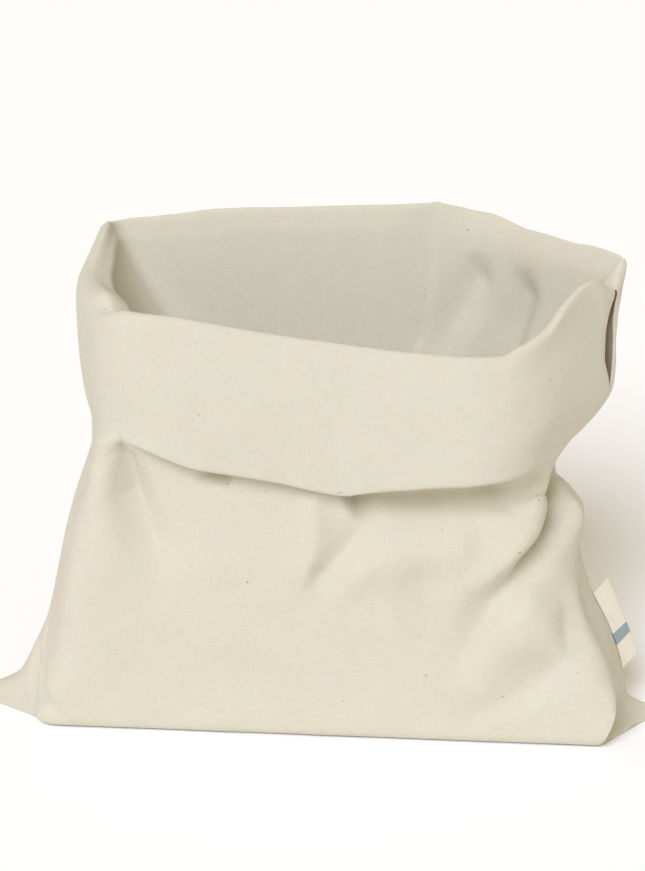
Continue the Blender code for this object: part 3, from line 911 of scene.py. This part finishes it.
def seam_vertices(mesh, edge, last_row, first_row):
    """Vertices along a seam of a sheet, between two rows: those of one layer, then the other's."""
    rows = np.empty(len(mesh.vertices), np.int32)
    mesh.attributes[edge].data.foreach_get("value", rows)
    found = np.flatnonzero((rows > first_row) & (rows <= last_row))
    found = found[np.argsort(rows[found], kind="stable")]
    return found[0::2], found[1::2]


def draw_together(front, back, edge, last_row, first_row=0):
    """Brings the facing layers of two sheets to the same line along a seam."""
    places = []
    for sheet in (front, back):
        place = np.empty(len(sheet.data.vertices) * 3)
        sheet.data.vertices.foreach_get("co", place)
        places.append(place.reshape(-1, 3))
    front_layers = seam_vertices(front.data, edge, last_row, first_row)
    back_layers = seam_vertices(back.data, edge, last_row, first_row)[::-1]
    for ours, theirs in zip(front_layers, back_layers):
        shared = (places[0][ours] + places[1][theirs]) / 2
        places[0][ours] = shared
        places[1][theirs] = shared
    for sheet, place in zip((front, back), places):
        sheet.data.vertices.foreach_set("co", place.ravel())
        sheet.data.update()


def add_panel(side, node_name, props):
    """One panel of the bag in place of its solid."""
    points, across, cloth = panel_surface(side, props.cloth_width, props.soften_rounds)
    cotton = bpy.data.materials.get(COTTON) or woven_cotton(props)
    sheet = draped_sheet(side + "_cloth", points, across, cloth, props.cloth_thick, cotton)
    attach(sheet, "root")
    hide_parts(node_name)


class BAG_OT_front_cloth(bpy.types.Operator):
    """Adds the front panel of the bag, from the bottom seam to the end of the inner flap"""
    bl_idname = "bag.front_cloth"
    bl_label = "Front Cloth"

    def execute(self, context):
        add_panel("front", "front_panel", context.scene.bag)
        return {"FINISHED"}


class BAG_OT_back_cloth(bpy.types.Operator):
    """Adds the back panel of the bag, which laps round the right corner to the side seam"""
    bl_idname = "bag.back_cloth"
    bl_label = "Back Cloth"

    def execute(self, context):
        add_panel("back", "back_panel", context.scene.bag)
        return {"FINISHED"}


class BAG_OT_side_seams(bpy.types.Operator):
    """Closes the left seam all the way, and the right seam below and above its open stretch"""
    bl_idname = "bag.side_seams"
    bl_label = "Side Seams"

    def execute(self, context):
        front = bpy.data.objects["front_cloth"]
        back = bpy.data.objects["back_cloth"]
        heights = cloth_rows()
        slit_start, slit_end = np.searchsorted(heights, (SEAM_SLIT[0][0], SEAM_SLIT[-1][0]))
        draw_together(front, back, "left_seam", len(heights))
        draw_together(front, back, "right_seam", slit_start)
        draw_together(front, back, "right_seam", len(heights), slit_end)
        return {"FINISHED"}


class BAG_OT_side_label(bpy.types.Operator):
    """Adds the woven label, a tape folded double with both ends in the right side seam"""
    bl_idname = "bag.side_label"
    bl_label = "Side Label"

    def execute(self, context):
        props = context.scene.bag
        columns, rows = LABEL_GRID
        shares = np.linspace(0.0, 1.0, rows + 1)
        heights = LABEL_LOW_END + (LABEL_HIGH_END - LABEL_LOW_END) * shares
        seam = np.array([level_points("back", cloth, props.cloth_width)[0][-1] for cloth in heights])
        straight = seam[0] + (seam[-1] - seam[0]) * shares[:, None]
        length = np.linalg.norm(seam[-1] - seam[0])
        along = (seam[-1] - seam[0]) / length
        outward = np.cross((0.0, 1.0, 0.0), along)
        outward /= np.linalg.norm(outward)
        backward = np.cross(along, outward)
        reach = outward * math.cos(LABEL_TURN) + backward * math.sin(LABEL_TURN)
        bow = np.cross(reach, along)
        around = np.linspace(-1.0, 1.0, columns + 1)
        points = np.empty((rows + 1, columns + 1, 3))
        for column, place in enumerate(around):
            share = 1 - abs(place)
            side = LABEL_FOLD_ROUND * np.sign(place) * math.sqrt(1 - share ** LABEL_FOLD_CLOSE)
            curl = LABEL_CURL * share * share * np.sin(math.pi * (shares + LABEL_CURL_SHIFT))
            points[:, column] = (seam + (straight - seam) * share + outward * LABEL_CLEARANCE
                                 + reach * share * props.label_width + bow * (curl + side)[:, None])
        across = np.broadcast_to((around + 1) * props.label_width, points.shape[:2])
        cloth = np.broadcast_to((shares * length)[:, None], points.shape[:2])
        label = draped_sheet("side_label", points, across, cloth, props.tape_thick, woven_tape(props))
        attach(label, "root")
        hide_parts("label")
        return {"FINISHED"}


# Stage

def soft_light(name, side, height, spread, strength, colour):
    """A wide studio lamp far away: its side, height and softness in degrees."""
    bpy.ops.object.light_add(type="SUN", location=(0.0, 0.0, 1.0))
    lamp = bpy.context.active_object
    lamp.name = name
    lamp.data.energy = strength
    lamp.data.angle = math.radians(spread)
    lamp.data.color = colour
    side, height = math.radians(side), math.radians(height)
    shine = Vector((-math.sin(side) * math.cos(height), math.cos(side) * math.cos(height),
                    -math.sin(height)))
    lamp.rotation_mode = "QUATERNION"
    lamp.rotation_quaternion = shine.to_track_quat("-Z", "Y")


class BAG_OT_stage(bpy.types.Operator):
    """Adds the floor, the lights and the camera"""
    bl_idname = "bag.stage"
    bl_label = "Stage"

    def execute(self, context):
        props = context.scene.bag
        bpy.ops.object.select_all(action="DESELECT")
        bpy.ops.mesh.primitive_plane_add(size=FLOOR_SIDE, location=(0.0, 0.0, 0.0))
        floor = context.active_object
        floor.name = "floor"
        floor.data.materials.append(studio_paper(props))

        world = bpy.data.worlds.new("studio")
        world.use_nodes = True
        background = world.node_tree.nodes["Background"]
        background.inputs["Color"].default_value = ROOM_COLOUR
        background.inputs["Strength"].default_value = ROOM_STRENGTH
        context.scene.world = world
        context.scene.view_settings.view_transform = "Standard"

        soft_light("key light", KEY_SIDE, KEY_HEIGHT, KEY_SPREAD, KEY_STRENGTH, KEY_COLOUR)

        lean, turn = CAMERA_ELEVATION, CAMERA_AZIMUTH
        forward = np.array([-math.sin(turn) * math.cos(lean), math.cos(turn) * math.cos(lean),
                            -math.sin(lean)])
        place = (CAMERA_AIM - BOX_MIDDLE - CAMERA_DISTANCE * forward) * MM
        bpy.ops.object.camera_add(location=place)
        camera = context.active_object
        camera.name = "camera"
        camera.rotation_mode = "QUATERNION"
        camera.rotation_quaternion = Vector(forward).to_track_quat("-Z", "Y")
        camera.data.sensor_width = SENSOR
        camera.data.lens = CAMERA_LENS
        camera.data.clip_end = CAMERA_FAR
        context.scene.camera = camera
        bpy.ops.object.select_all(action="DESELECT")
        return {"FINISHED"}


class BAG_PT_panel(bpy.types.Panel):
    """Buttons and sizes of the bag"""
    bl_label = "Cotton Drawstring Bag"
    bl_idname = "BAG_PT_panel"
    bl_space_type = "VIEW_3D"
    bl_region_type = "UI"
    bl_category = "Bag"

    def draw(self, context):
        layout = self.layout
        for operator in OPERATORS:
            layout.operator(operator.bl_idname)
        for name in BagProperties.__annotations__:
            layout.prop(context.scene.bag, name)


OPERATORS = (BAG_OT_stage, BAG_OT_front_cloth, BAG_OT_back_cloth, BAG_OT_side_seams, BAG_OT_side_label)
CLASSES = (BagProperties, *OPERATORS, BAG_PT_panel)


def register():
    """Adds the classes and the bag's own values."""
    for item in CLASSES:
        bpy.utils.register_class(item)
    bpy.types.Scene.bag = PointerProperty(type=BagProperties)


def unregister():
    """Takes the classes and the bag's own values away again."""
    del bpy.types.Scene.bag
    for item in reversed(CLASSES):
        bpy.utils.unregister_class(item)


def main():
    """Builds every piece and the stage."""
    register()
    bpy.ops.object.select_all(action="DESELECT")
    bpy.ops.bag.stage()
    bpy.ops.bag.front_cloth()
    bpy.ops.bag.back_cloth()
    bpy.ops.bag.side_seams()
    bpy.ops.bag.side_label()


if __name__ == "__main__":
    main()
